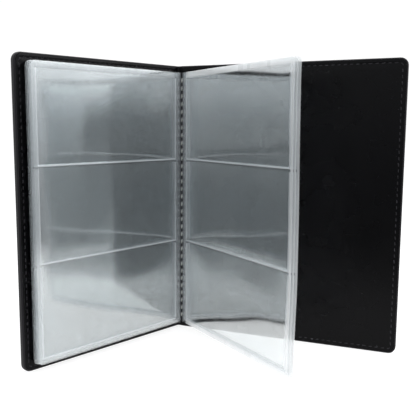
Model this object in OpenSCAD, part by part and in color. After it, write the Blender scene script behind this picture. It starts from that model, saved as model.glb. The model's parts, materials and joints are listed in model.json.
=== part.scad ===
// Collector's album with a stitched hard cover and a block of clear three-pocket leaves.
// It stands open on its bottom edges. Z is up and -Y is towards the reader.
// X runs along the spine's width, with the front cover on the -X side.
// The origin is in the spine's bottom face, at the middle of its width and thickness.

/* [Covers] */
// Height of the covers and the spine
cover_h = 195; // [150:1:300]
// Width of a cover's stiff panel, from the hinge groove to the fore edge
cover_w = 133; // [100:0.5:220]
// Thickness of a cover and of the spine
cover_t = 5; // [4.4:0.1:8]
// Radius of the covers' fore-edge corners
corner_r = 5; // [2:0.5:15]
// Thickness of the outer skin
skin_t = 0.9; // [0.5:0.1:1.1]
// Thickness of the foam under the outer skin
padding_t = 1.2; // [0.6:0.1:1.4]
// Thickness of the inner lining
lining_t = 0.7; // [0.3:0.1:0.9]

/* [Spine] */
// Width of the stiff part of the spine
spine_w = 18; // [17:0.5:60]
// Width of the soft hinge groove between the spine and each cover
groove_w = 5; // [4:0.5:12]
// Gap left in the middle of each groove, where the skin bends
hinge_slit = 0.3; // [0.2:0.05:0.6]

/* [Stance] */
// Angle of the front cover from the spine's plane, 0 flat open and 90 closed
front_open = 68; // [0:1:90]
// Angle of the back cover from the spine's plane
back_open = 1; // [0:1:90]
// Angle of the leaves that lie on the front cover
front_leaf_open = 68.8; // [10:0.2:90]
// Angle of the leaf that stands in front of the back cover
back_leaf_open = 38.6; // [10:0.2:90]
// Angle by which each leaf behind it lies further back
back_fan = 0.2; // [0:0.1:1]

/* [Leaf block] */
// Distance between neighbouring leaves at the binding
leaf_pitch = 0.8; // [0.8:0.05:1.2]
// Clearance of the leaves above and below, inside the covers
leaf_clear_z = 5; // [2:0.5:10]
// Setback of the leaves from the covers' fore edge, with the album closed
leaf_setback = 4.4; // [1:0.2:10]
// Distance from the closed front cover to the middle of the first leaf
first_leaf_gap = 0.85; // [0.7:0.05:2]
// Depth of the first leaf's fold above the spine lining
first_fold_depth = 2.2; // [2.2:0.1:8]
// Width of the gutter between the two groups of leaves
gutter_w = 0.9; // [0.6:0.1:3]
// Clearance along a leaf between its bound margin and its free part
fold_gap = 0.4; // [0.3:0.05:0.6]
// Radius of a leaf's outer corners
leaf_corner_r = 3; // [1:0.5:8]

/* [Pockets] */
// Thickness of the backing film and of each pocket film
film_t = 0.2; // [0.1:0.02:0.22]
// Room between a pocket film and the backing film
pocket_room = 0.1; // [0.04:0.02:0.12]
// Width of a weld line
weld_w = 1.4; // [0.8:0.1:3]
// Margin between the fold and the pockets
hinge_margin = 4.5; // [2:0.5:12]
// Margin between the pockets and the leaf's outer edge
fore_margin = 2.2; // [1:0.1:10]
// Margin below the lowest pocket
bottom_margin = 3.2; // [1:0.1:10]
// Margin above the highest pocket
top_margin = 3.0; // [1:0.1:10]
// Slit between a pocket's mouth and the weld of the pocket above
mouth_gap = 1.2; // [0.4:0.1:5]

/* [Binding] */
// Thickness of the tape that holds the leaf block on the spine lining
tape_t = 0.6; // [0.3:0.1:1.5]
// Width of the tape past the leaf block, on the back cover's side
tape_margin = 8; // [1:0.5:8]
// Distance between the stitches that show in the gutter
bind_pitch = 5.6; // [4:0.1:12]
// Thickness of the binding thread
bind_thread = 0.7; // [0.4:0.1:1.2]
// Depth of the binding thread below the gutter leaves' folds
bind_depth = 1.6; // [1:0.1:2.4]

/* [Cover stitching] */
// Distance from the covers' edges to the seam
seam_inset = 3; // [1.5:0.1:8]
// Thickness of the sewing thread along the covers' plane
seam_w = 0.7; // [0.3:0.1:1.2]
// Height of the sewing thread above the covers' faces
seam_proud = 0.25; // [0.1:0.05:0.4]

/* [Hidden] */
// Leaves that lie on the front cover, then leaves that stand by the back cover
front_leaves = 5;
back_leaves = 3;
pocket_rows = ["bottom", "middle", "top"];
leaves = [for (k = [1 : front_leaves + back_leaves]) k];
cover_parts = ["skin", "padding", "board", "lining", "stitching"];
$fn = 64;
// How far a cut runs past the face that it opens
cut_over = 1;
// Smallest radius left on a corner that is inset
least_r = 0.5;

face_y = -cover_t / 2;
hinge_x = (spine_w + groove_w) / 2;
panel_start = groove_w / 2;
panel_end = panel_start + cover_w;
board_t = cover_t - skin_t - padding_t - lining_t;
flange_start = hinge_slit / 2;

leaf_t = 2 * film_t + pocket_room;
leaf_low = leaf_clear_z;
leaf_h = cover_h - 2 * leaf_clear_z;
gutter_depth = first_fold_depth + (front_leaves - 1) * leaf_pitch;
row_pitch = (leaf_h - bottom_margin - top_margin) / len(pocket_rows);

// How many leaves lie between a leaf and the gutter
function from_gutter(k) = k <= front_leaves ? front_leaves - k : k - front_leaves - 1;
// Height of a leaf's fold above the spine lining: the leaves by the gutter stand highest
function fold_depth(k) = gutter_depth - from_gutter(k) * leaf_pitch;
// Place of a leaf across the spine
function fold_x(k) = -hinge_x + first_leaf_gap + (k - 1) * leaf_pitch
    + (k > front_leaves ? gutter_w : 0);
// The leaves are trimmed together, so that they end level with the album closed
function leaf_len(k) = panel_end - leaf_setback - fold_depth(k);
function leaf_angle(k) = k <= front_leaves
    ? front_leaf_open
    : back_leaf_open - from_gutter(k) * back_fan;

// A sheet drawn with its width along X and its height along Y, set upright between two depths
module upright(depth0, depth1) {
    translate([0, depth1, 0])
        rotate([90, 0, 0])
            linear_extrude(depth1 - depth0) children();
}

// A rectangle with the two corners at x1 rounded
module sheet_outline(x0, x1, z0, z1, r) {
    translate([x0, z0]) square([x1 - x0 - r, z1 - z0]);
    translate([x0, z0 + r]) square([x1 - x0, z1 - z0 - 2 * r]);
    for (z = [z0 + r, z1 - r])
        translate([x1 - r, z]) circle(r);
}

// Puts a cover, drawn flat along +X from its hinge, in its place
module cover_place(side) {
    if (side == "front")
        translate([-hinge_x, face_y, 0]) rotate([0, 0, front_open]) mirror([1, 0, 0]) children();
    else
        translate([hinge_x, face_y, 0]) rotate([0, 0, -back_open]) children();
}

// Puts a leaf, drawn flat along +X from its fold, in its place. Depth 0 is the leaf's middle.
module leaf_place(k) {
    translate([fold_x(k), face_y - fold_depth(k), 0])
        if (k <= front_leaves)
            rotate([0, 0, leaf_angle(k) + 180]) children();
        else
            rotate([0, 0, -leaf_angle(k)]) children();
}

// The outline of a panel, inset from the cover's free edges
module panel_outline(inset) {
    sheet_outline(panel_start + inset, panel_end - inset, inset, cover_h - inset,
                  corner_r - min(inset, corner_r - least_r));
}

// The lining's outline, from the hinge to just inside the free edges
module lining_outline() {
    sheet_outline(flange_start, panel_end - skin_t, skin_t, cover_h - skin_t, corner_r - skin_t);
}

// Outer skin: wraps the panel's edges, and runs on as a flange into the hinge groove
module cover_skin(side) {
    color([0.12, 0.11, 0.13]) cover_place(side) {
        difference() {
            upright(0, cover_t) panel_outline(0);
            upright(-cut_over, cover_t - skin_t) panel_outline(skin_t);
            upright(-cut_over, lining_t) lining_outline();
        }
        translate([flange_start, lining_t, 0])
            cube([panel_start - flange_start, skin_t, cover_h]);
    }
}

module cover_padding(side) {
    color([0.75, 0.75, 0.7]) cover_place(side)
        upright(lining_t + board_t, cover_t - skin_t) panel_outline(skin_t);
}

module cover_board(side) {
    color([0.6, 0.5, 0.38]) cover_place(side)
        upright(lining_t, lining_t + board_t) panel_outline(skin_t);
}

// Inner lining: lies inside the turned-in skin, and runs on along the groove's inner side
module cover_lining(side) {
    color([0.08, 0.07, 0.09]) cover_place(side)
        upright(0, lining_t) lining_outline();
}

// Sewing thread: one closed seam on each face of the cover
module cover_stitching(side) {
    color([0.3, 0.29, 0.31]) cover_place(side)
        for (depth = [-seam_proud, cover_t])
            upright(depth, depth + seam_proud) difference() {
                panel_outline(seam_inset);
                panel_outline(seam_inset + seam_w);
            }
}

module spine_skin() {
    color([0.12, 0.11, 0.13]) {
        difference() {
            translate([-spine_w / 2, face_y, 0]) cube([spine_w, cover_t, cover_h]);
            translate([-spine_w / 2 + skin_t, face_y - cut_over, skin_t])
                cube([spine_w - 2 * skin_t, cover_t - skin_t + cut_over, cover_h - 2 * skin_t]);
            translate([-hinge_x, face_y - cut_over, skin_t])
                cube([2 * hinge_x, lining_t + cut_over, cover_h - 2 * skin_t]);
        }
        for (m = [0, 1]) mirror([m, 0, 0])
            translate([spine_w / 2, face_y + lining_t, 0])
                cube([panel_start - flange_start, skin_t, cover_h]);
    }
}

module spine_board() {
    color([0.6, 0.5, 0.38])
        translate([-spine_w / 2 + skin_t, face_y + lining_t, skin_t])
            cube([spine_w - 2 * skin_t, cover_t - skin_t - lining_t, cover_h - 2 * skin_t]);
}

module spine_lining() {
    color([0.08, 0.07, 0.09])
        translate([-hinge_x + flange_start, face_y, skin_t])
            cube([2 * (hinge_x - flange_start), lining_t, cover_h - 2 * skin_t]);
}

// Tape under the leaf block, glued on the spine lining
module binding_tape() {
    first = fold_x(1) - leaf_pitch / 2;
    last = fold_x(len(leaves)) + leaf_pitch / 2 + tape_margin;
    color([0.16, 0.16, 0.18])
        translate([first, face_y - tape_t, leaf_low])
            cube([last - first, tape_t, leaf_h]);
}

// The leaves' bound margins, welded into two ribs that rise in steps towards the gutter
module binding_block() {
    color([0.75, 0.78, 0.8, 0.8])
        for (k = leaves)
            translate([fold_x(k) - leaf_pitch / 2, face_y - fold_depth(k) + fold_gap + leaf_t / 2, leaf_low])
                cube([leaf_pitch, fold_depth(k) - fold_gap - leaf_t / 2 - tape_t, leaf_h]);
}

// Thread that crosses the gutter from rib to rib, one short stitch above the other
module binding_thread() {
    count = floor((leaf_h - bind_pitch) / bind_pitch);
    start = leaf_low + (leaf_h - (count - 1) * bind_pitch) / 2;
    color([0.7, 0.7, 0.68])
        for (i = [0 : count - 1])
            translate([fold_x(front_leaves) + leaf_pitch / 2,
                       face_y - gutter_depth + bind_depth, start + i * bind_pitch])
                rotate([0, 90, 0]) cylinder(h = gutter_w, d = bind_thread, $fn = 16);
}

// Backing film of a leaf, from its fold to its outer edge
module leaf_backing(k) {
    color([0.8, 0.85, 0.88, 0.5]) leaf_place(k)
        upright(leaf_t / 2 - film_t, leaf_t / 2)
            sheet_outline(fold_gap, leaf_len(k), leaf_low, leaf_low + leaf_h, leaf_corner_r);
}

// Pocket film: open at the top, with a weld rim that meets the backing on the other three sides
module leaf_pocket(k, row) {
    low = leaf_low + bottom_margin + row * row_pitch;
    high = low + row_pitch - mouth_gap;
    left = fold_gap + hinge_margin;
    right = leaf_len(k) - fore_margin;
    color([0.8, 0.85, 0.88, 0.5]) leaf_place(k) difference() {
        translate([left, -leaf_t / 2, low])
            cube([right - left, leaf_t - film_t, high - low]);
        translate([left + weld_w, -leaf_t / 2 + film_t, low + weld_w])
            cube([right - left - 2 * weld_w, leaf_t, high - low]);
    }
}

spine_skin();
spine_board();
spine_lining();
binding_tape();
binding_block();
binding_thread();
for (side = ["front", "back"]) {
    cover_skin(side);
    cover_padding(side);
    cover_board(side);
    cover_lining(side);
    cover_stitching(side);
}
for (k = leaves) {
    leaf_backing(k);
    for (row = [0 : len(pocket_rows) - 1])
        leaf_pocket(k, row);
}
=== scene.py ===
"""Collector's album: the finished look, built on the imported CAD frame."""
import json
import math
import random

import bmesh
import bpy
import numpy as np
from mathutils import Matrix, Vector


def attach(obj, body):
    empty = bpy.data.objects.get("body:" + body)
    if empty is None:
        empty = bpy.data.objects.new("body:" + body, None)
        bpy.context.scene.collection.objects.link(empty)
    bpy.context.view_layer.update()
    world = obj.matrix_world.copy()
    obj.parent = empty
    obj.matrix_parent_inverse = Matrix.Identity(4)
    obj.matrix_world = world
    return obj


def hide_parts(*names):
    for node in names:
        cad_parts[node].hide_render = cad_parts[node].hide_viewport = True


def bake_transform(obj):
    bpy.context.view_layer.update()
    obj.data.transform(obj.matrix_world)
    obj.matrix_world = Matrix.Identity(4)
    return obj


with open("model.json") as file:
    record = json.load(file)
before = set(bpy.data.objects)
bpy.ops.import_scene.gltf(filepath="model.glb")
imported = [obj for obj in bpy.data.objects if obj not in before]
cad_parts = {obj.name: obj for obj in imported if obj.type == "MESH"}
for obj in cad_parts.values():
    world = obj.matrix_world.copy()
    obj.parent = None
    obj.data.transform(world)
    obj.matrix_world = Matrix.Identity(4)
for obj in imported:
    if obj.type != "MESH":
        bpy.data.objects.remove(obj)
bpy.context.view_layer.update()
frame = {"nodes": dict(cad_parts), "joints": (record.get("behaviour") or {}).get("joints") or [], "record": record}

MM = 0.001
SHARP = math.radians(50)   # edges sharper than this stay crisp
ANY_PHASE = (0, 6.28)
JOINTS = {j["name"]: j for j in frame["joints"]}
COUPLED = {c["joint"]: c for c in frame["record"]["behaviour"]["couplings"]}
ROWS = ("bottom", "middle", "top")
SIDES = {"front": -1, "back": 1}
LEAVES = {k: (-1 if JOINTS[f"leaf_{k}_fold"]["axis"][2] > 0 else 1)
          for k in range(1, 1 + sum(n.endswith("_fold") for n in JOINTS))}


# ---------------------------------------------------------------- places in the frame
class Place:
    """A flat piece's own axes: u along it, d through its thickness, z up."""

    def __init__(self, origin, u, d):
        self.origin, self.u, self.d = (np.array(v, float) for v in (origin, u, d))

    def at(self, u, d, z):
        """Points in the row frame, in metres, from arrays of local millimetres."""
        u, d, z = (np.asarray(v, float)[..., None] * MM for v in (u, d, z))
        return self.origin + u * self.u + d * self.d + z * np.array((0, 0, 1.0))

    def extent(self, node):
        """A CAD node's lowest and highest (u, d, z), in local millimetres."""
        co = np.array([v.co for v in frame["nodes"][node].data.vertices], float) - self.origin
        local = np.stack([co @ self.u, co @ self.d, co[:, 2]], 1) / MM
        return local.min(0), local.max(0)


def turned(joint, side, d_sign=1):
    """The place of a panel on a hinge. A cover's upper limit is the closed album, at 90 degrees."""
    follow = COUPLED.get(joint["name"])
    to_closed = joint["range_deg"][1]
    if follow:
        to_closed = follow["ratio"] * JOINTS[follow["follows"]]["range_deg"][1]
    angle = math.radians(90 - to_closed)
    u = (side * math.cos(angle), -math.sin(angle), 0)
    d = (d_sign * side * math.sin(angle), d_sign * math.cos(angle), 0)
    place = Place(joint["pos_m"], u, d)
    place.angle, place.side = angle, side
    return place


COVER = {name: turned(JOINTS[f"{name}_cover_hinge"], side) for name, side in SIDES.items()}
LEAF = {k: turned(JOINTS[f"leaf_{k}_fold"], side, side) for k, side in LEAVES.items()}
FACE_Y = JOINTS["back_cover_hinge"]["pos_m"][1]
SPINE = Place((0, FACE_Y, 0), (1, 0, 0), (0, 1, 0))


# ---------------------------------------------------------------- mesh helpers
def make(name, verts, faces, material, smooth=True):
    mesh = bpy.data.meshes.new(name)
    mesh.from_pydata([tuple(v) for v in np.asarray(verts)], [], faces)
    bm = bmesh.new()
    bm.from_mesh(mesh)
    bmesh.ops.recalc_face_normals(bm, faces=bm.faces)
    bm.to_mesh(mesh)
    bm.free()
    mesh.polygons.foreach_set("use_smooth", [smooth] * len(mesh.polygons))
    mesh.set_sharp_from_angle(angle=SHARP)
    mesh.materials.append(material)
    obj = bpy.data.objects.new(name, mesh)
    bpy.context.scene.collection.objects.link(obj)
    return obj


def lines(low, high, step, insets=()):
    """Grid lines between two edges: at the given insets from both, and evenly spaced between."""
    first, last = low + max(insets, default=0), high - max(insets, default=0)
    count = max(1, round((last - first) / step))
    middle = [first + (last - first) * i / count for i in range(count + 1)]
    edge = sorted(set(insets) - {max(insets, default=0)})
    return np.array([low + i for i in edge] + middle + [high - i for i in reversed(edge)])


def rounded(u, z, box, radius):
    """Bends a rectangle's two corners at its far side into arcs, keeping its inner lines parallel."""
    u0, u1, z0, z1 = box
    u, z = np.array(u, float), np.array(z, float)
    if radius <= 0:
        return u, z
    up = z > (z0 + z1) / 2
    centre = np.where(up, z1 - radius, z0 + radius)
    sign = np.where(up, 1.0, -1.0)
    x, y = u - (u1 - radius), (z - centre) * sign
    inside = (x > 1e-9) & (y > 1e-9)
    scale = np.where(inside, np.maximum(x, y) / np.maximum(np.hypot(x, y), 1e-9), 1.0)
    return (np.where(inside, u1 - radius + x * scale, u),
            np.where(inside, centre + sign * y * scale, z))


def grow(u, z, box, radius, start, inset):
    """Moves a closed loop of grid points from one inset from the box's edges to another."""
    u0, u1, z0, z1 = box
    up = z > (z0 + z1) / 2
    centre = np.where(up, z1 - radius, z0 + radius)
    sign = np.where(up, 1.0, -1.0)
    x, y = u - (u1 - radius), (z - centre) * sign
    corner = (x > 1e-9) & (y > 1e-9) & (radius > start)
    scale = (radius - inset) / (radius - start) if radius > start else 1.0
    gu, gz = u.copy(), z.copy()
    gu[np.abs(u - (u0 + start)) < 1e-6] = u0 + inset
    gu[np.abs(u - (u1 - start)) < 1e-6] = u1 - inset
    gz[np.abs(z - (z0 + start)) < 1e-6] = z0 + inset
    gz[np.abs(z - (z1 - start)) < 1e-6] = z1 - inset
    gu = np.where(corner, u1 - radius + x * scale, gu)
    gz = np.where(corner, centre + sign * y * scale, gz)
    return rounded(gu, gz, box, radius)


def slab(place, box, radius, profile, grid_u, grid_z, front=None, back=None, rim=None):
    """A closed sheet or panel with a rounded rim: two gridded faces joined along a profile.

    profile lists (inset from the outline, depth) from the front face's border to the back face's.
    front and back give each face's depth at (u, z), and rim adds to the depth along the rim.
    """
    u0, u1, z0, z1 = box
    start = profile[0][0]
    gu, gz = np.meshgrid(grid_u, grid_z, indexing="ij")
    nu, nz = gu.shape
    ring = ([(i, 0) for i in range(nu)] + [(nu - 1, j) for j in range(1, nz)]
            + [(i, nz - 1) for i in range(nu - 2, -1, -1)] + [(0, j) for j in range(nz - 2, 0, -1)])
    ri, rj = (np.array(v) for v in zip(*ring))
    lu, lz = gu[ri, rj], gz[ri, rj]
    fu, fz = rounded(gu, gz, box, radius)
    verts, faces = [], []

    def face(depth, inset, base):
        du, dz = fu.copy(), fz.copy()
        du[ri, rj], dz[ri, rj] = grow(lu, lz, box, radius, start, inset)
        verts.append(place.at(du, depth(du, dz), dz).reshape(-1, 3))
        index = base + np.arange(nu * nz).reshape(nu, nz)
        for i in range(nu - 1):
            for j in range(nz - 1):
                faces.append((index[i, j], index[i + 1, j], index[i + 1, j + 1], index[i, j + 1]))
        return index[ri, rj]

    flat = lambda value: (lambda u, z: np.full(np.shape(u), float(value)))
    first = face(front or flat(profile[0][1]), start, 0)
    base, previous = nu * nz, first
    count = len(ring)

    def join(a, b):
        for i in range(count):
            n = (i + 1) % count
            faces.append((a[i], a[n], b[n], b[i]))

    for inset, depth in profile[1:-1]:
        pu, pz = grow(lu, lz, box, radius, start, inset)
        extra = rim(pu, pz, depth) if rim else np.zeros(count)
        verts.append(place.at(pu, depth + extra, pz))
        loop = base + np.arange(count)
        join(previous, loop)
        previous, base = loop, base + count
    last = face(back or flat(profile[-1][1]), profile[-1][0], base)
    join(previous, last)
    return np.concatenate(verts), faces


def merged(parts):
    """Several (verts, faces) as one."""
    verts, faces, base = [], [], 0
    for v, f in parts:
        verts.append(v)
        faces += [tuple(int(i) + base for i in q) for q in f]
        base += len(v)
    return np.concatenate(verts), faces


def tube(path, across, lift, width, height, sides=6):
    """A thread along a path of points, flattened by width and height, with closed ends."""
    path = np.asarray(path)
    verts, faces = [], []
    n = len(path)
    for i, point in enumerate(path):
        swell = (0.45, 1.0)[0 < i < n - 1]
        for s in range(sides):
            a = math.tau * s / sides
            verts.append(point + across[i] * math.cos(a) * width * swell
                         + lift * math.sin(a) * height * swell)
    for i in range(n - 1):
        for s in range(sides):
            t = (s + 1) % sides
            faces.append((i * sides + s, i * sides + t, (i + 1) * sides + t, (i + 1) * sides + s))
    faces += [tuple(range(sides)), tuple(range((n - 1) * sides, n * sides))]
    return np.array(verts), faces


def turn(points, pivot, angle):
    """Turns points about the upright axis through a pivot, each by its own angle."""
    p = points - pivot
    c, s = np.cos(angle), np.sin(angle)
    return np.stack([p[:, 0] * c - p[:, 1] * s, p[:, 0] * s + p[:, 1] * c, p[:, 2]], 1) + pivot


def bent(points, pivot, angle, start, end):
    start, end = np.array(start), np.array(end)
    run = end - start
    low, high = np.zeros(len(points)), np.ones(len(points))
    for _ in range(40):
        mid = (low + high) / 2
        t = np.clip(((turn(points, pivot, mid * angle) - start) @ run) / (run @ run), 0, 1)
        more = t * t * (3 - 2 * t) > mid
        low, high = np.where(more, mid, low), np.where(more, high, mid)
    return turn(points, pivot, (low + high) / 2 * angle)


# ---------------------------------------------------------------- materials
def link(tree, value, socket):
    if isinstance(value, bpy.types.NodeSocket):
        tree.links.new(value, socket)
    else:
        socket.default_value = value


def node(tree, kind, inputs=None, **props):
    n = tree.nodes.new("ShaderNode" + kind)
    for key, value in props.items():
        setattr(n, key, value)
    for key, value in (inputs or {}).items():
        link(tree, value, n.inputs[key])
    return n


def math_node(tree, operation, *values, clamp=False):
    n = node(tree, "Math", operation=operation, use_clamp=clamp)
    for i, value in enumerate(values):
        link(tree, value, n.inputs[i])
    return n.outputs[0]


def ramp(tree, fac, stops):
    n = node(tree, "ValToRGB", {"Fac": fac})
    elements = n.color_ramp.elements
    while len(elements) < len(stops):
        elements.new(0.5)
    for element, (position, color) in zip(elements, stops):
        element.position = position
        element.color = (*color, 1) if len(color) == 3 else color
    return n.outputs["Color"]


def spread(tree, fac, low, high):
    n = node(tree, "MapRange", {"Value": fac, "To Min": low, "To Max": high})
    return n.outputs["Result"]


def noise(tree, scale, detail=3.0, stretch=None, roughness=0.5):
    coordinate = node(tree, "TexCoord").outputs["Object"]
    if stretch:
        coordinate = node(tree, "Mapping", {"Vector": coordinate, "Scale": stretch}).outputs[0]
    n = node(tree, "TexNoise", {"Vector": coordinate, "Scale": scale, "Detail": detail,
                                "Roughness": roughness})
    return n.outputs["Fac"]


def cells(tree, scale, feature="SMOOTH_F1"):
    coordinate = node(tree, "TexCoord").outputs["Object"]
    n = node(tree, "TexVoronoi", {"Vector": coordinate, "Scale": scale}, feature=feature)
    return n.outputs["Distance"]


def bump(tree, height, strength, distance, normal=None):
    inputs = {"Height": height, "Strength": strength, "Distance": distance}
    if normal:
        inputs["Normal"] = normal
    return node(tree, "Bump", inputs).outputs[0]


def begin(name):
    material = bpy.data.materials.new(name)
    material.use_nodes = True
    tree = material.node_tree
    tree.nodes.clear()
    return material, tree, node(tree, "OutputMaterial")


def leatherette(name, dark, light, grain, depth, rough, specular):
    """Embossed leatherette: pebbled grain, faint colour drift and uneven gloss."""
    material, tree, out = begin(name)
    drift = noise(tree, 18, 4)
    pebble = cells(tree, grain)
    color = ramp(tree, drift, [(0.3, dark), (0.7, light)])
    color = node(tree, "Mix", {"Factor": spread(tree, pebble, 0.0, 0.6), "A": color,
                               "B": (*[c * 0.55 for c in dark], 1)}, data_type="RGBA")
    fine = bump(tree, noise(tree, grain * 2.6, 2), 0.35, depth * 0.5 * MM)
    normal = bump(tree, pebble, 0.6, depth * MM, fine)
    b = node(tree, "BsdfPrincipled", {
        "Base Color": color.outputs[2],
        "Roughness": spread(tree, noise(tree, 60, 3), rough - 0.07, rough + 0.1),
        "Specular IOR Level": specular, "Normal": normal})
    tree.links.new(b.outputs[0], out.inputs[0])
    return material


def sewing_thread(name, dark, light):
    material, tree, out = begin(name)
    twist = node(tree, "TexWave", {"Vector": node(tree, "TexCoord").outputs["Object"], "Scale": 420.0,
                                   "Distortion": 1.2, "Detail": 1.0}, bands_direction="DIAGONAL")
    color = ramp(tree, noise(tree, 260, 3), [(0.3, dark), (0.7, light)])
    b = node(tree, "BsdfPrincipled", {
        "Base Color": color, "Roughness": spread(tree, noise(tree, 900, 2), 0.55, 0.8),
        "Specular IOR Level": 0.3,
        "Normal": bump(tree, twist.outputs["Fac"], 0.5, 0.08 * MM)})
    tree.links.new(b.outputs[0], out.inputs[0])
    return material


def woven(name, dark, light, threads):
    material, tree, out = begin(name)
    coordinate = node(tree, "TexCoord").outputs["Object"]
    weave = [node(tree, "TexWave", {"Vector": coordinate, "Scale": threads, "Distortion": 0.4},
                  bands_direction=axis).outputs["Fac"] for axis in ("X", "Z")]
    height = math_node(tree, "MAXIMUM", *weave)
    b = node(tree, "BsdfPrincipled", {
        "Base Color": ramp(tree, height, [(0.2, dark), (0.9, light)]),
        "Roughness": spread(tree, noise(tree, 500, 2), 0.7, 0.9),
        "Specular IOR Level": 0.2, "Normal": bump(tree, height, 0.7, 0.1 * MM)})
    tree.links.new(b.outputs[0], out.inputs[0])
    return material


def pressed_board(name, dark, light):
    material, tree, out = begin(name)
    fibre = noise(tree, 240, 6, stretch=(1, 1, 0.35), roughness=0.65)
    fleck = cells(tree, 900, "F1")
    b = node(tree, "BsdfPrincipled", {
        "Base Color": ramp(tree, fibre, [(0.3, dark), (0.72, light)]),
        "Roughness": spread(tree, fleck, 0.82, 0.95), "Specular IOR Level": 0.2,
        "Normal": bump(tree, fibre, 0.5, 0.15 * MM)})
    tree.links.new(b.outputs[0], out.inputs[0])
    return material


def foam(name, dark, light):
    material, tree, out = begin(name)
    pores = cells(tree, 1600, "F1")
    b = node(tree, "BsdfPrincipled", {
        "Base Color": ramp(tree, pores, [(0.1, dark), (0.6, light)]),
        "Roughness": spread(tree, noise(tree, 300, 3), 0.85, 0.98), "Specular IOR Level": 0.1,
        "Normal": bump(tree, pores, 0.8, 0.25 * MM)})
    tree.links.new(b.outputs[0], out.inputs[0])
    return material


def film(name, tint, haze, milk, rough, gloss, streak):
    """Clear plastic film: part mirror, more so at a glancing angle, part haze, and the rest clear.

    Light is only met on the way in, so that a closed sheet reflects once.
    """
    material, tree, out = begin(name)
    drawn = noise(tree, 22, 3, stretch=(3.2, 3.2, 0.16), roughness=0.6)
    cloud = noise(tree, 14, 2)
    ripple = bump(tree, drawn, streak, 0.5 * MM)
    normal = bump(tree, cloud, streak, 2.0 * MM, ripple)
    facing = node(tree, "LayerWeight", {"Blend": 0.5}).outputs["Facing"]
    glance = math_node(tree, "POWER", facing, 5.0)
    share = math_node(tree, "MULTIPLY_ADD", glance, 0.9, gloss)
    share = math_node(tree, "MULTIPLY", share, spread(tree, drawn, 0.82, 1.2), clamp=True)
    clear = node(tree, "BsdfTransparent", {"Color": (*tint, 1)}).outputs[0]
    mirror = node(tree, "BsdfPrincipled", {
        "Base Color": ramp(tree, cloud, [(0.3, (0.93, 0.955, 0.965)), (0.7, (0.98, 0.988, 0.99))]),
        "Metallic": 1.0, "Roughness": spread(tree, drawn, rough * 0.6, rough * 1.5),
        "Normal": normal}).outputs[0]
    cloudy = node(tree, "BsdfPrincipled", {
        "Base Color": ramp(tree, cloud, [(0.3, milk), (0.7, tuple(min(1, c * 1.08) for c in milk))]),
        "Roughness": 0.45, "Normal": normal}).outputs[0]
    hazy = spread(tree, cloud, haze * 0.7, haze * 1.3)
    body = node(tree, "MixShader", {0: hazy, 1: clear, 2: cloudy}).outputs[0]
    front = node(tree, "MixShader", {0: share, 1: body, 2: mirror}).outputs[0]
    leaving = node(tree, "NewGeometry").outputs["Backfacing"]
    glass = node(tree, "BsdfTransparent", {"Color": (1, 1, 1, 1)}).outputs[0]
    both = node(tree, "MixShader", {0: leaving, 1: front, 2: glass}).outputs[0]
    tree.links.new(both, out.inputs[0])
    return material


SKIN = leatherette("leatherette", (0.0080, 0.0070, 0.0087), (0.0145, 0.0128, 0.0156),
                   grain=1350, depth=0.09, rough=0.46, specular=0.20)
LINING = leatherette("lining", (0.0006, 0.0005, 0.0009), (0.0014, 0.0012, 0.0020),
                     grain=2100, depth=0.030, rough=0.26, specular=0.12)
THREAD = sewing_thread("thread", (0.011, 0.010, 0.012), (0.028, 0.026, 0.031))
BINDING = sewing_thread("binding_thread", (0.55, 0.56, 0.55), (0.80, 0.80, 0.78))
TAPE = woven("tape", (0.006, 0.006, 0.008), (0.022, 0.022, 0.026), 330)
BOARD = pressed_board("greyboard", (0.33, 0.30, 0.26), (0.50, 0.47, 0.43))
FOAM = foam("foam", (0.50, 0.49, 0.46), (0.78, 0.77, 0.73))
FILM = film("clear_film", (0.980, 0.985, 0.986), haze=0.004, milk=(0.80, 0.84, 0.86),
            rough=0.08, gloss=0.15, streak=0.10)
WELD = film("welded_film", (0.97, 0.98, 0.985), haze=0.34, milk=(0.86, 0.89, 0.91),
            rough=0.20, gloss=0.12, streak=0.16)
# The two stacks' borders are lit and shaded copies of one film: the front stack's has little haze and a greyer
# milk as painted shade, the back stack's much haze and a whiter milk as painted light.
BORDER = {-1: film("pressed_border_film_front_painted_shade", (0.98, 0.985, 0.987), haze=0.07, milk=(0.84, 0.87, 0.88),
                   rough=0.28, gloss=0.08, streak=0.14),
          1: film("pressed_border_film_back_painted_light", (0.98, 0.985, 0.987), haze=0.45, milk=(0.93, 0.94, 0.94),
                  rough=0.28, gloss=0.08, streak=0.14)}
MARGIN = film("bound_margin_film", (0.98, 0.985, 0.99), haze=0.07, milk=(0.80, 0.84, 0.86),
              rough=0.20, gloss=0.11, streak=0.20)


# ---------------------------------------------------------------- covers
CORNER_R = 5.0     # rounding of a cover's two outer corners, mm
EDGE_R = 2.0       # rounding of the padded outer edge
TURN_R = 0.9       # rounding of the turned-in inner edge
PANEL_CROWN = 0.45  # how far the padding lifts the outer face
PANEL_STEP = 5.5   # spacing of a cover's grid lines
SEAM_DENT = 0.22   # how deep the seams pull the faces in
SEAM_HALF = 0.9    # half width of that channel
SEAM_SOFT = 0.8    # radius of a seam's turns at the hinge side
STITCH_PITCH = 4.0
STITCH_LEN = 2.5
STITCH_W = 0.34
STITCH_H = 0.26
# one stitch from end to end: the place along it, and how high it stands off the face
STITCH_SHAPE = ((-0.5, -0.30), (-0.36, 0.02), (-0.14, 0.12), (0.14, 0.12), (0.36, 0.02), (0.5, -0.30))


def arc(radius, inset, depth, start, end, count):
    """Profile points on an arc about (inset, depth), from one angle to another in degrees."""
    out = []
    for i in range(count + 1):
        a = math.radians(start + (end - start) * i / count)
        out.append((inset - radius * math.cos(a), depth + radius * math.sin(a)))
    return out


def inset_of(u, z, box):
    u0, u1, z0, z1 = box
    return np.minimum(np.minimum(u - u0, u1 - u), np.minimum(z - z0, z1 - z))


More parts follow.
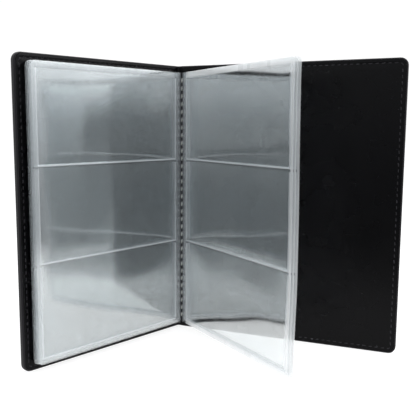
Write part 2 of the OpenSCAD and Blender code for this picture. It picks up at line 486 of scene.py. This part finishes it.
def drift(u, z, seed, size):
    """A smooth, low unevenness, as boards and padding have."""
    r = random.Random(seed)
    total = 0
    for _ in range(5):
        ku, kz, p = r.uniform(-1, 1), r.uniform(-1, 1), r.uniform(*ANY_PHASE)
        total = total + np.sin((u * ku + z * kz) * math.tau / r.uniform(45, 110) + p)
    return size * total / 5


def seam_path(box, inset, radius):
    """A closed seam at an inset from a box, as points round its four rounded corners, with its total length."""
    u0, u1, z0, z1 = box[0] + inset, box[1] - inset, box[2] + inset, box[3] - inset
    corners = [(u0, z0, SEAM_SOFT, 180), (u1, z0, radius, 270), (u1, z1, radius, 0), (u0, z1, SEAM_SOFT, 90)]
    points = []
    for cu, cz, r, start in corners:
        mu = cu + r if cu == u0 else cu - r
        mz = cz + r if cz == z0 else cz - r
        points += [(mu + r * math.cos(math.radians(start + 15 * i)),
                    mz + r * math.sin(math.radians(start + 15 * i))) for i in range(7)]
    points.append(points[0])
    points = np.array(points)
    length = np.concatenate([[0], np.cumsum(np.hypot(*np.diff(points, axis=0).T))])
    return points, length


def stitches(place, box, inset, radius, depth, sign, seed):
    """Separate stitches along a closed seam on one face. sign is the way out of the face."""
    points, length = seam_path(box, inset, radius)
    count = round(length[-1] / STITCH_PITCH)
    pitch = length[-1] / count
    out = sign * place.d
    rng = random.Random(seed)
    parts = []
    for i in range(count):
        middle = (i + 0.5) * pitch + rng.uniform(-0.08, 0.08)
        slant = rng.uniform(0.03, 0.10)
        where, across = [], []
        for step, rise in STITCH_SHAPE:
            s = (middle + step * STITCH_LEN) % length[-1]
            u, z = (np.interp(s, length, points[:, c]) for c in (0, 1))
            ahead = (s + 0.2) % length[-1]
            du, dz = (np.interp(ahead, length, points[:, c]) - v for c, v in ((0, u), (1, z)))
            norm = max(math.hypot(du, dz), 1e-9)
            side = np.array((-dz / norm, du / norm))
            u, z = u + side[0] * slant * step * 4, z + side[1] * slant * step * 4
            surface = depth(np.array([u]), np.array([z]))[0]
            where.append(place.at(u, surface + sign * rise, z))
            across.append(side[0] * place.u + side[1] * np.array((0, 0, 1.0)))
        parts.append(tube(where, across, out, STITCH_W * MM, STITCH_H * MM))
    return parts


for name, place in COVER.items():
    low, high = place.extent(f"{name}_cover_skin")
    pad_low, pad_high = place.extent(f"{name}_cover_padding")
    lin_low, lin_high = place.extent(f"{name}_cover_lining")
    seam_low = place.extent(f"{name}_cover_stitching")[0]
    skin_t = high[1] - pad_high[1]
    box = (pad_low[0] - skin_t, high[0], low[2], high[2])
    thick, lining_t = high[1], lin_high[1]
    seam_in = seam_low[0] - box[0] + STITCH_W
    seed = 3 if name == "front" else 7
    steps = [EDGE_R, 2.5, seam_in - SEAM_HALF * 0.5, seam_in, seam_in + SEAM_HALF * 0.5, 4.4, 5.0, 7.0, 10.0]
    grid_u, grid_z = (lines(a, b, PANEL_STEP, steps) for a, b in (box[:2], box[2:]))

    def outer(u, z):
        i = inset_of(u, z, box)
        channel = np.exp(-((i - seam_in) / (SEAM_HALF * 0.6)) ** 2)
        crown = PANEL_CROWN * (1 - np.exp(-np.maximum(i - EDGE_R, 0) / 5.0))
        fade = np.clip((i - EDGE_R) / 4, 0, 1)
        return thick + crown - SEAM_DENT * channel + fade * drift(u, z, seed, 0.10)

    wall = skin_t - 0.02
    profile = (list(reversed(arc(EDGE_R, EDGE_R, thick - EDGE_R, 0, 90, 6)))
               + [(0.0, (thick - EDGE_R + TURN_R) * 0.66), (0.0, (thick - EDGE_R + TURN_R) * 0.4)]
               + arc(TURN_R, TURN_R, TURN_R, 0, -90, 5)[:-1]
               + [(wall, 0.02), (wall, lining_t), (wall, thick - wall - 0.4), (wall, thick - wall)])

    def hinge_rim(u, z, depth):
        """On the hinge side the skin stops above the lining, which runs on into the groove."""
        near = u < box[0] + skin_t + 0.5
        return np.where(near & (depth < lining_t + 0.05), lining_t + 0.05 - depth, 0.0)

    verts, faces = slab(place, box, CORNER_R, profile, grid_u, grid_z, front=outer, rim=hinge_rim)
    skin = make(f"{name}_cover_leatherette", verts, faces, SKIN)
    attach(skin, f"{name}_cover")
    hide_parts(f"{name}_cover_skin")

    # inner lining, a sheet with a soft rim, pulled in along its seam
    lin_box = (box[0] - 0.3, lin_high[0] - 0.03, lin_low[2] + 0.03, lin_high[2] - 0.03)
    steps = [0.3, 0.9, seam_in - skin_t - SEAM_HALF * 0.5, seam_in - skin_t,
             seam_in - skin_t + SEAM_HALF * 0.5, 4.1, 6.5]
    grid_u, grid_z = (lines(a, b, PANEL_STEP, steps) for a, b in (lin_box[:2], lin_box[2:]))

    def inner(u, z):
        i = inset_of(u, z, box)
        channel = np.exp(-((i - seam_in) / (SEAM_HALF * 0.6)) ** 2)
        fade = np.clip((i - 1.2) / 4, 0, 1)
        puff = 0.10 * np.clip((i - 1.2) / 1.2, 0, 1)
        return 0.02 - puff + 0.8 * SEAM_DENT * channel + fade * drift(u, z, seed + 1, 0.05)

    rim = [(0.3, 0.0), (0.09, 0.09), (0.0, 0.3), (0.0, lining_t - 0.05), (0.3, lining_t - 0.02)]
    verts, faces = slab(place, lin_box, CORNER_R - skin_t, rim, grid_u, grid_z, front=inner)
    lining = make(f"{name}_cover_inner_lining", verts, faces, LINING)
    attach(lining, f"{name}_cover")
    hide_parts(f"{name}_cover_lining")

    seam_radius = max(CORNER_R - seam_in, 0.6)
    parts = (stitches(place, box, seam_in, seam_radius, outer, 1, seed)
             + stitches(place, box, seam_in, seam_radius, inner, -1, seed + 1))
    verts, faces = merged(parts)
    seam = make(f"{name}_cover_stitches", verts, faces, THREAD)
    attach(seam, f"{name}_cover")
    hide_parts(f"{name}_cover_stitching")

    for part, finish, slot_name in (("board", BOARD, "greyboard"), ("padding", FOAM, "foam")):
        obj = frame["nodes"][f"{name}_cover_{part}"]
        obj.data.materials.clear()
        obj.data.materials.append(finish)


# ---------------------------------------------------------------- spine
low, high = SPINE.extent("spine_skin")
board_high = SPINE.extent("spine_board")[1]
spine_skin_t = high[1] - board_high[1]
spine_half = board_high[0] + spine_skin_t
spine_box = (-spine_half, spine_half, low[2], high[2])
thick = high[1]
lining_t = SPINE.extent("spine_lining")[1][1]
SPINE_R = 1.9        # rounding of the spine's outer edges
SPINE_CROWN = 0.7    # how far its outer face bulges


def spine_face(u, z):
    rise = 1 - (u / spine_half) ** 2
    i = inset_of(u, z, spine_box)
    return (thick + SPINE_CROWN * np.maximum(rise, 0) * np.clip(i / 6, 0, 1)
            + drift(u, z, 21, 0.06) * np.clip((i - 2) / 4, 0, 1))


def spine_rim(u, z, depth):
    """At its long sides the spine's skin runs into the grooves above the lining."""
    near = np.abs(u) > spine_half - spine_skin_t - 0.2
    return np.where(near & (depth < lining_t + 0.05), lining_t + 0.05 - depth, 0.0)


wall = spine_skin_t - 0.02
profile = (list(reversed(arc(SPINE_R, SPINE_R, thick - SPINE_R, 0, 90, 6)))
           + [(0.0, 2.6), (0.0, 1.8)] + arc(0.7, 0.7, 0.7, 0, -90, 4)[:-1]
           + [(wall, 0.02), (wall, lining_t), (wall, thick - wall - 0.4), (wall, thick - wall)])
verts, faces = slab(SPINE, spine_box, 0, profile, lines(*spine_box[:2], 2.0, [SPINE_R, 2.6]),
                    lines(*spine_box[2:], 4.5, [SPINE_R, 2.6, 4.5]), front=spine_face, rim=spine_rim)
skin = make("spine_leatherette", verts, faces, SKIN)
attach(skin, "spine")
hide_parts("spine_skin")

lin_low, lin_high = SPINE.extent("spine_lining")
lin_box = (-spine_half + 0.05, spine_half - 0.05, lin_low[2] + 0.03, lin_high[2] - 0.03)
rim = [(0.25, 0.0), (0.08, 0.08), (0.0, 0.25), (0.0, lining_t - 0.05), (0.25, lining_t - 0.02)]
verts, faces = slab(SPINE, lin_box, 0, rim,
                    lines(*lin_box[:2], 2.0, [0.25, 1.0]), lines(*lin_box[2:], 5.0, [0.25, 1.0]),
                    front=lambda u, z: 0.01 + drift(u, z, 22, 0.02))
lining = make("spine_inner_lining", verts, faces, LINING)
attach(lining, "spine")
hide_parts("spine_lining")
obj = frame["nodes"]["spine_board"]
obj.data.materials.clear()
obj.data.materials.append(BOARD)


# ---------------------------------------------------------------- hinge grooves
GROOVE_HALF = 1.1   # half width of the groove's dip, mm


def groove(name, place, span, z_range, depths, finish, title, dip):
    """A flat strip from the spine to a cover, bent to the resting album and blended across the hinge."""
    side = place.side
    straight = Place(place.origin, (side, 0, 0), (0, 1, 0))
    box = (-span, span, *z_range)
    inner, outer = depths
    rim = [(0.0, outer), (0.0, (inner + outer) / 2), (0.0, inner)]
    verts, faces = slab(straight, box, 0, rim,
                        np.linspace(-span, span, 25), lines(*z_range, 4.0, [0.0, 0.4, 1.2]),
                        front=lambda u, z: outer - dip * np.exp(-(u / GROOVE_HALF) ** 2))
    pivot = np.array(place.origin)
    start = straight.at(-span * 0.8, 0, 0)
    end = place.at(span * 0.8, 0, 0)
    verts = bent(verts, pivot, -side * place.angle, start, end)
    obj = make(f"{name}_{title}", verts, faces, finish)
    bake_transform(obj)
    return obj


for name, place in COVER.items():
    low, high = place.extent(f"{name}_cover_skin")
    pad_low, pad_high = place.extent(f"{name}_cover_padding")
    skin_t = high[1] - pad_high[1]
    lining_t = place.extent(f"{name}_cover_lining")[1][1]
    span = pad_low[0] - skin_t
    groove(name, place, span + 0.55, (low[2] + 0.05, high[2] - 0.05),
           (lining_t, lining_t + skin_t), SKIN, "hinge_skin", 0.12)
    groove(name, place, span + 0.12, (low[2] + skin_t + 0.05, high[2] - skin_t - 0.05),
           (0.03, lining_t - 0.03), LINING, "hinge_lining", 0.0)


# ---------------------------------------------------------------- binding
tape_low, tape_high = SPINE.extent("binding_tape")
tape_box = (tape_low[0], tape_high[0], tape_low[2], tape_high[2])
rim = [(0.15, tape_low[1]), (0.0, tape_low[1] + 0.15), (0.0, -0.1), (0.15, -0.01)]
verts, faces = slab(SPINE, tape_box, 0, rim,
                    lines(*tape_box[:2], 1.5, [0.15]), lines(*tape_box[2:], 5.0, [0.15]),
                    front=lambda u, z: tape_low[1] + drift(u * 3, z * 3, 31, 0.04))
tape = make("binding_woven_tape", verts, faces, TAPE)
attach(tape, "spine")
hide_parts("binding_tape")

block_low, block_high = SPINE.extent("binding_block")
folds = {k: (np.array(LEAF[k].origin) - SPINE.origin) / MM for k in LEAF}
pitch = abs(folds[2][0] - folds[1][0])
ribs = []
for k in LEAF:
    foot = Place(SPINE.origin + np.array((folds[k][0] * MM, 0, 0)), (0, -1, 0), (1, 0, 0))
    rib_box = (-tape_low[1], -folds[k][1] - 0.65, block_low[2], block_high[2])
    half = pitch / 2 - 0.01
    rim = [(0.12, half), (0.03, half - 0.1), (0.03, 0.1 - half), (0.12, -half)]
    ribs.append(slab(foot, rib_box, 0, rim,
                     lines(*rib_box[:2], 1.0, [0.12]), lines(*rib_box[2:], 2.5, [0.12])))
verts, faces = merged(ribs)
block = make("binding_ribs", verts, faces, TAPE)
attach(block, "spine")
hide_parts("binding_block")

heights = sorted(v.co.z for v in frame["nodes"]["binding_thread"].data.vertices)
clusters = [[heights[0]]]
for h in heights[1:]:
    if h - clusters[-1][-1] > 1.5 * MM:
        clusters.append([])
    clusters[-1].append(h)
thread_low, thread_high = SPINE.extent("binding_thread")
across_mid, across_half = (thread_low[0] + thread_high[0]) / 2, (thread_high[0] - thread_low[0]) / 2
thread_r = (thread_high[1] - thread_low[1]) / 2
thread_y = (thread_high[1] + thread_low[1]) / 2
front_stack = max(k for k in LEAVES if LEAVES[k] < 0)
gutter_x = (folds[front_stack][0] + folds[front_stack + 1][0]) / 2
gutter_y = min(folds[front_stack][1], folds[front_stack + 1][1]) + 0.2
GUTTER_STITCH = 3.4   # length of a stitch that stands upright in the gutter
GUTTER_SLANT = 0.12   # how far it leans over
GUTTER_SINK = 0.9     # and how deep its ends go in
parts = []
for number, cluster in enumerate(clusters):
    z = (cluster[0] + cluster[-1]) / 2 / MM
    lean = 0.12 * math.sin(number * 2.3)
    path, side = [], []
    for t in np.linspace(-1, 1, 7):
        reach = across_half + 0.35
        path.append(SPINE.at(across_mid + t * reach, thread_y - 0.35 * math.cos(t * 1.4), z + lean * t))
        side.append(np.array((0, 0, 1.0)))
    parts.append(tube(path, side, np.array((0, -1.0, 0)), thread_r * MM * 1.15, thread_r * MM, 8))
    # the same thread's running stitch, seen upright in the gutter between the two stacks
    path = [SPINE.at(gutter_x + GUTTER_SLANT * t, gutter_y + GUTTER_SINK * t ** 4, z + t * GUTTER_STITCH / 2)
            for t in np.linspace(-1, 1, 7)]
    parts.append(tube(path, [np.array((1.0, 0, 0))] * 7, np.array((0, -1.0, 0)),
                      thread_r * MM * 0.8, thread_r * MM, 8))
verts, faces = merged(parts)
thread = make("binding_stitches", verts, faces, BINDING)
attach(thread, "spine")
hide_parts("binding_thread")


# ---------------------------------------------------------------- leaves
FILM_STEP = 2.6      # spacing of a film's grid lines, mm
FILM_T = 0.2         # a pocket film's thickness
LEAF_R = 3.0         # rounding of a leaf's two outer corners
WELD_W = 1.4         # width of the weld round a pocket
BORDER_IN = 0.12     # how far the pressed border stays inside the leaf's outline
BORDER_HALF = 0.15   # half the border's thickness
MARGIN_HALF = 0.22   # half the bound margin's thickness
KNURL_Z, KNURL_U = 2.5, 2.4   # spacing of the margin's knurls, up and across
# each pocket's bulge: height of its crest, its size, the broad swell, the crest's tilt along the leaf
BULGE = {"bottom": (0.17, 0.26, 0.16, 0.35),
         "middle": (0.24, 0.30, 0.10, -0.30),
         "top": (0.11, 0.22, 0.14, 0.20)}
FRONT_COUNT = sum(side < 0 for side in LEAVES.values())
LEAN = 1.1           # how far the back stack sags back above its lowest pockets
LEAN_FROM = 0.36     # where that sag starts, as a share of the lowest pocket's height
LEAN_WAVE = 0.09     # and how that place wanders along the leaf
LEAN_LENGTH = 75.0
CURL = 0.34          # how far the back stack's head leans back at the fore edge
CURL_NARROW = 2.5    # how far down the lean starts, at the fold and at the fore edge
CURL_WIDE = 12.0


def eased(t):
    """A smooth rise from 0 to 1."""
    t = np.clip(t, 0, 1)
    return t * t * (3 - 2 * t)


def ripples(u, z, seed):
    """Faint upright waves in a leaf, and a few slack folds."""
    r = random.Random(seed)
    total = 0
    for _ in range(4):
        wave = u * math.tau / r.uniform(16, 40) + z * r.uniform(-0.012, 0.012)
        total = total + 0.016 * np.sin(wave + r.uniform(*ANY_PHASE))
    for _ in range(3):
        wave = (u * r.uniform(-1, 1) + z * r.uniform(-1, 1)) * math.tau / r.uniform(40, 80)
        total = total + 0.02 * np.sin(wave + r.uniform(*ANY_PHASE))
    return total


class Leaf:
    """A leaf's measures, all taken from its CAD nodes, and the way its films bow."""

    def __init__(self, k):
        self.k, self.place = k, LEAF[k]
        self.low, self.high = self.place.extent(f"leaf_{k}_backing")
        self.pockets = {row: self.place.extent(f"leaf_{k}_pocket_{row}") for row in ROWS}
        self.toward = -LEAVES[k]   # +d faces the reader on the front cover's leaves, and -d on the others
        self.outline = (self.low[0], self.high[0], self.low[2], self.high[2])

    def bow(self, u, z):
        total = ripples(u, z, 100 + (self.k > FRONT_COUNT))
        for row, (low, high) in self.pockets.items():
            crest, size, swell, tilt = BULGE[row]
            x = (u - low[0] - WELD_W) / (high[0] - low[0] - 2 * WELD_W)
            y = (z - low[2] - WELD_W) / (high[2] - low[2] - WELD_W)
            inside = (x > 0) & (x < 1) & (y > 0) & (y < 1)
            xc, yc = np.clip(x, 0, 1), np.clip(y, 0, 1)
            along = (1 - (2 * xc - 1) ** 4) * (1 + tilt * (2 * xc - 1))
            top = crest * (1 + 0.5 * tilt * np.sin(math.pi * xc))
            rise = yc / top * np.exp(1 - yc / top)
            total = total + np.where(inside, along * (size * rise * (1 - yc) + swell * np.sin(math.pi * yc)), 0)
        if self.k > FRONT_COUNT:
            reach = np.clip((u - self.low[0]) / (self.high[0] - self.low[0]), 0, 1)
            width = CURL_NARROW + (CURL_WIDE - CURL_NARROW) * reach
            total = total - CURL * reach ** 0.7 * np.clip((z - self.high[2] + width) / width, 0, 1) ** 1.6
            foot, seam = self.pockets["bottom"][0][2], self.pockets["bottom"][1][2]
            start = foot + (seam - foot) * (LEAN_FROM + LEAN_WAVE * np.sin(u * math.tau / LEAN_LENGTH))
            rising = eased((z - start) / (seam - start))
            settling = 1 - eased((z - seam) / (self.high[2] - seam))
            total = total - LEAN * eased((u - 4) / 45) * np.where(z < seam, rising, settling)
        return self.toward * total


def film_slab(leaf, box, radius, depths, grid_u, grid_z, bend):
    lo, hi = depths
    mid = (lo + hi) / 2
    return slab(leaf.place, box, radius, [(0.0, hi), (-0.03, mid), (0.0, lo)], grid_u, grid_z,
                front=lambda u, z: hi + bend(u, z), back=lambda u, z: lo + bend(u, z),
                rim=lambda u, z, d: bend(u, z))


def bar(leaf, u_range, z_range, thickness):
    """A weld: a flattened bead through the leaf."""
    box = (*u_range, *z_range)
    half = thickness / 2
    rim = [(0.35, half), (0.1, half * 0.8), (0.0, 0.0), (0.1, -half * 0.8), (0.35, -half)]
    grid_u, grid_z = (lines(a, b, 3.0, [0.35]) for a, b in (u_range, z_range))
    return slab(leaf.place, box, 0, rim, grid_u, grid_z,
                front=lambda u, z: half + leaf.bow(u, z), back=lambda u, z: leaf.bow(u, z) - half,
                rim=lambda u, z, d: leaf.bow(u, z))


for k, side in LEAVES.items():
    leaf = Leaf(k)
    low, high = leaf.low, leaf.high
    grid_u = lines(low[0], high[0], FILM_STEP, [0.0, 1.0, 2.0, 3.0])
    grid_z = lines(low[2], high[2], FILM_STEP, [0.0, 1.0, 2.0, 3.0])
    verts, faces = film_slab(leaf, leaf.outline, LEAF_R, (low[1], high[1]), grid_u, grid_z, leaf.bow)
    backing = make(f"leaf_{k}_backing_film", verts, faces, FILM)
    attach(backing, f"leaf_{k}")
    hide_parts(f"leaf_{k}_backing")

    for row in ROWS:
        p_low, p_high = leaf.pockets[row]
        box = (p_low[0] + 0.3, p_high[0] - 0.3, p_low[2] + 0.3, p_high[2])

        def sag(u, z, box=box):
            """The pocket film stands off the backing a little, most at its open mouth."""
            x = np.clip((u - box[0]) / (box[1] - box[0]), 0, 1)
            y = np.clip((z - box[2]) / (box[3] - box[2]), 0, 1)
            open_mouth = 0.12 * (1 - (2 * x - 1) ** 2) * y ** 6
            return leaf.bow(u, z) - 0.05 * np.sin(math.pi * x) ** 0.5 - open_mouth

        grid_u = lines(box[0], box[1], FILM_STEP, [0.0, 1.2])
        grid_z = lines(box[2], box[3], FILM_STEP, [0.0, 1.2])
        verts, faces = film_slab(leaf, box, 0, (p_low[1], p_low[1] + FILM_T), grid_u, grid_z, sag)
        pocket = make(f"leaf_{k}_pocket_film_{row}", verts, faces, FILM)
        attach(pocket, f"leaf_{k}")
        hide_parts(f"leaf_{k}_pocket_{row}")

    # welds: the U round each pocket
    parts = []
    for p_low, p_high in leaf.pockets.values():
        parts.append(bar(leaf, (p_low[0] + 0.1, p_high[0] - 0.1), (p_low[2] + 0.1, p_low[2] + 1.3), 0.60))
        upright = (p_low[2] + WELD_W, p_high[2] - 0.1)
        parts.append(bar(leaf, (p_low[0] + 0.1, p_low[0] + 1.2), upright, 0.58))
        parts.append(bar(leaf, (p_high[0] - 1.2, p_high[0] - 0.1), upright, 0.58))
    verts, faces = merged(parts)
    welds = make(f"leaf_{k}_welds", verts, faces, WELD)
    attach(welds, f"leaf_{k}")

    # pressed border: a frosted strip along the fore edge, the head and the foot
    top_high, foot_low = leaf.pockets["top"][1], leaf.pockets["bottom"][0]
    first = leaf.pockets["top"][0][0]
    fore = (top_high[0] + 0.05, high[0] - BORDER_IN, low[2] + BORDER_IN, high[2] - BORDER_IN)
    rim = [(0.25, BORDER_HALF), (0.06, BORDER_HALF * 0.7), (0.0, 0.0),
           (0.06, -BORDER_HALF * 0.7), (0.25, -BORDER_HALF)]
    parts = [slab(leaf.place, fore, LEAF_R - BORDER_IN, rim,
                  lines(*fore[:2], 0.8, [0.25]), lines(*fore[2:], 3.0, [0.25, 1.2, 2.8]),
                  front=lambda u, z: BORDER_HALF + leaf.bow(u, z),
                  back=lambda u, z: leaf.bow(u, z) - BORDER_HALF,
                  rim=lambda u, z, d: leaf.bow(u, z))]
    for z_range in ((top_high[2] + 0.05, high[2] - BORDER_IN), (low[2] + BORDER_IN, foot_low[2] + 0.05)):
        parts.append(bar(leaf, (first, top_high[0]), z_range, 2 * BORDER_HALF))
    verts, faces = merged(parts)
    # The border's frosting differs by stack: painted shade on the front stack's leaves, painted light on the back
    # stack's.
    border = make(f"leaf_{k}_pressed_border", verts, faces, BORDER[side])
    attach(border, f"leaf_{k}")

    # bound margin, knurled by the welding tool, from the rib across the fold to the pockets
    inner_end = min(p[0][0] for p in leaf.pockets.values()) - 0.3
    closed = Place(leaf.place.origin, (0, -1, 0), (1, 0, 0))
    margin_box = (-0.8, inner_end, low[2] + 0.2, high[2] - 0.2)
    knurl = 0.10 if side < 0 else 0.07

    def toothed(base, sign):
        def depth(u, z):
            teeth = np.sin(z * math.tau / KNURL_Z) * np.cos(u * math.tau / KNURL_U)
            return base + sign * knurl * teeth * np.clip(u + 0.2, 0, 1)
        return depth

    verts, faces = slab(closed, margin_box, 0, [(0.0, MARGIN_HALF), (-0.02, 0.0), (0.0, -MARGIN_HALF)],
                        np.linspace(margin_box[0], margin_box[1], 15), lines(*margin_box[2:], 0.62, [0.0]),
                        front=toothed(MARGIN_HALF, 1), back=toothed(-MARGIN_HALF, -1))
    start = closed.at(-0.6, 0, 0)
    end = leaf.place.at(1.1, 0, 0)
    angle = side * (math.pi / 2 - leaf.place.angle)
    verts = bent(verts, np.array(leaf.place.origin), angle, start, end)
    margin = make(f"leaf_{k}_bound_margin", verts, faces, MARGIN)
    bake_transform(margin)


# ---------------------------------------------------------------- stage
# The room is fixed in the world: white behind the album, darker in front of it and to its right.
# The films mirror it, and its parts lie where they give the reflections in the photo.
VIEW_WAY = (-0.385, 0.923)   # the way to the white background, a fixed direction in the world
FLOOR_NEAR, FLOOR_FAR = 0.17, 0.38   # where the painted glowing patch under the album starts and ends its fade, metres
FLOOR_SQUEEZE = 1.6   # the glowing patch is narrower from front to back
FLOOR_END = 6.0       # half the floor's side
FLOOR_PAINTED_GLOW = 0.84    # the painted glow that the patch itself gives off, though the floor is no lamp
BACK_WHITE = 1.04     # the white background's radiance
SKY = 2.0             # the world's ramps give shares of this radiance
COOLEST = 0.06        # how far the darkest grey leans to blue
GLOW_PATCH_AT = (0.03, -0.05)     # the glowing patch's middle
PAGE_AT = (-0.037, -0.096)   # the left page's outer part, from which the dark sector is measured


def tinted(value):
    """The room's grey: bluer where it is darker."""
    cool = COOLEST * (1 - min(value, 1))
    return value * (1 - cool), value, value * (1 + cool)


def smooth(tree, value, start, end):
    return node(tree, "MapRange", {"Value": value, "From Min": start, "From Max": end},
                interpolation_type="SMOOTHSTEP").outputs["Result"]


def rightward(tree, x):
    """How far a direction or a place lies to the right, 0 to 1."""
    return smooth(tree, x, 0.1, 0.65)


def mixed(tree, factor, a, b):
    return node(tree, "Mix", {"Factor": factor, "A": a, "B": b}, data_type="RGBA").outputs[2]


def backward(tree, axes):
    """How far a direction or a place lies towards the white background."""
    return math_node(tree, "ADD", math_node(tree, "MULTIPLY", axes["X"], VIEW_WAY[0]),
                     math_node(tree, "MULTIPLY", axes["Y"], VIEW_WAY[1]))


def lit_front(tree, along):
    """Where the room at the right is lit, 0 to 1: in front of its dark sector."""
    return smooth(tree, along, -0.10, -0.135)


# The floor is no lamp, yet it glows: painted light. A glowing patch under the album fades to a painted grey
# further off, with a painted dark sector to the right for the films to mirror, and the floor's albedo darkens away
# from the patch as painted shade.
material, tree, out = begin("floor")
position = node(tree, "TexCoord").outputs["Object"]
axes = node(tree, "SeparateXYZ", {0: position}).outputs
reach = node(tree, "VectorMath", {0: position, 1: (*GLOW_PATCH_AT, 0.0)}, operation="DISTANCE").outputs["Value"]
squeezed = node(tree, "Mapping", {"Vector": position, "Scale": (1.0, FLOOR_SQUEEZE, 1.0)}).outputs[0]
sheet = node(tree, "VectorMath", {0: squeezed, 1: (GLOW_PATCH_AT[0], GLOW_PATCH_AT[1] * FLOOR_SQUEEZE, 0.0)},
             operation="DISTANCE").outputs["Value"]
near = smooth(tree, sheet, FLOOR_FAR, FLOOR_NEAR)
along = backward(tree, axes)
fade = math_node(tree, "MAXIMUM", near, smooth(tree, along, -0.13, 0.0))
far = math_node(tree, "DIVIDE", reach, FLOOR_END)
lit = ramp(tree, far, [(0.1, tinted(0.28)), (0.3, tinted(0.42)), (1.0, tinted(0.60))])
corner = node(tree, "VectorMath", {0: position, 1: (*PAGE_AT, 0.0)}, operation="DISTANCE").outputs["Value"]
past = math_node(tree, "SUBTRACT", along, VIEW_WAY[0] * PAGE_AT[0] + VIEW_WAY[1] * PAGE_AT[1])
# painted shade: the floor's glow dimmed in a dark sector to the right
right = mixed(tree, lit_front(tree, math_node(tree, "DIVIDE", past, corner)), (*tinted(0.19), 1), lit)
front = ramp(tree, far, [(0.1, tinted(0.23)), (0.3, tinted(0.26)), (1.0, tinted(0.33))])
dim = mixed(tree, rightward(tree, math_node(tree, "DIVIDE", axes["X"], reach)), front, right)
# the floor's albedo, darker away from the glowing patch: painted shade
painted_shade_albedo = ramp(tree, fade, [(0.0, (0.05, 0.05, 0.05)), (1.0, (0.30, 0.30, 0.30))])
# painted light: the floor's glow, white on the patch and grey further off
floor_shader = node(tree, "BsdfPrincipled", {
    "Base Color": painted_shade_albedo, "Roughness": 0.9, "Specular IOR Level": 0.0,
    "Emission Color": mixed(tree, fade, dim, (*[FLOOR_PAINTED_GLOW] * 3, 1)), "Emission Strength": 1.0})
tree.links.new(floor_shader.outputs[0], out.inputs[0])
floor = make("floor", [(x * FLOOR_END, y * FLOOR_END, 0) for x, y in ((-1, -1), (1, -1), (1, 1), (-1, 1))],
             [(0, 1, 2, 3)], material, False)

world = bpy.data.worlds.new("studio")
bpy.context.scene.world = world
world.use_nodes = True
tree = world.node_tree
tree.nodes.clear()
way = node(tree, "TexCoord").outputs["Generated"]
axes = node(tree, "SeparateXYZ", {0: way}).outputs
height = node(tree, "MapRange", {"Value": axes["Z"], "From Min": -0.1, "From Max": 0.3}).outputs["Result"]


def climbing(*stops):
    """The room's grey by height: stops are (height, grey)."""
    return ramp(tree, height, [(at, tinted(value)) for at, value in stops])


front = climbing((0.1, 0.13), (0.25, 0.18), (0.325, 0.30), (0.38, 0.46), (0.45, 0.64), (0.7, 0.66), (1.0, 0.45))
right = climbing((0.1, 0.22), (0.25, 0.32), (0.325, 0.41), (0.38, 0.48), (0.45, 0.60), (0.7, 0.66), (1.0, 0.45))
along = backward(tree, axes)
dark = climbing((0.1, 0.04), (0.325, 0.06), (0.38, 0.20), (0.45, 0.64), (0.7, 0.66), (1.0, 0.45))
left = climbing((0.2, 0.20), (0.35, 0.60), (1.0, 0.50))
room = mixed(tree, rightward(tree, axes["X"]), front, mixed(tree, lit_front(tree, along), dark, right))
room = mixed(tree, smooth(tree, axes["X"], -0.25, -0.55), room, left)
sky = mixed(tree, smooth(tree, along, 0.25, 0.65), room, (*[BACK_WHITE / SKY] * 3, 1))
background = node(tree, "Background", {"Color": sky, "Strength": SKY})
tree.links.new(background.outputs[0], node(tree, "OutputWorld").inputs[0])


def softbox(name, where, target, size, power):
    light = bpy.data.lights.new(name, "AREA")
    light.shape, light.size, light.size_y = "RECTANGLE", *size
    light.energy = power
    obj = bpy.data.objects.new(name, light)
    obj.location = where
    obj.rotation_euler = (Vector(target) - Vector(where)).to_track_quat("-Z", "Y").to_euler()
    bpy.context.scene.collection.objects.link(obj)


softbox("top_light", (0.0, 0.15, 1.1), (0.0, 0.0, 0.1), (1.1, 0.8), 9)
softbox("side_light", (1.3, 0.25, 0.75), (0.0, -0.05, 0.15), (0.6, 0.7), 4)

# ---------------------------------------------------------------- camera
CAMERA_AT = (0.17082, -0.43947, 0.15186)   # metres
CAMERA_DOWN = 7.672     # degrees below the horizon
CAMERA_LEFT = 22.629    # degrees to the left of straight on
CAMERA_LENS = 54.555    # millimetres, on a sensor 36 mm wide
CAMERA_SHIFT = (0.075, 0.004)
camera_data = bpy.data.cameras.new("camera")
camera_data.lens, camera_data.sensor_width = CAMERA_LENS, 36
camera_data.shift_x, camera_data.shift_y = CAMERA_SHIFT
camera_data.clip_start, camera_data.clip_end = 0.01, 50
camera = bpy.data.objects.new("camera", camera_data)
camera.location = CAMERA_AT
camera.rotation_euler = (math.radians(90 - CAMERA_DOWN), 0, math.radians(CAMERA_LEFT))
bpy.context.scene.collection.objects.link(camera)
bpy.context.scene.camera = camera

scene = bpy.context.scene
scene.view_settings.view_transform = "Standard"
scene.view_settings.look = "None"
scene.cycles.max_bounces = 40
scene.cycles.glossy_bounces = 14
scene.cycles.diffuse_bounces = 4
scene.cycles.transparent_max_bounces = 96
scene.cycles.caustics_reflective = True
scene.cycles.use_denoising = True

bpy.context.view_layer.update()
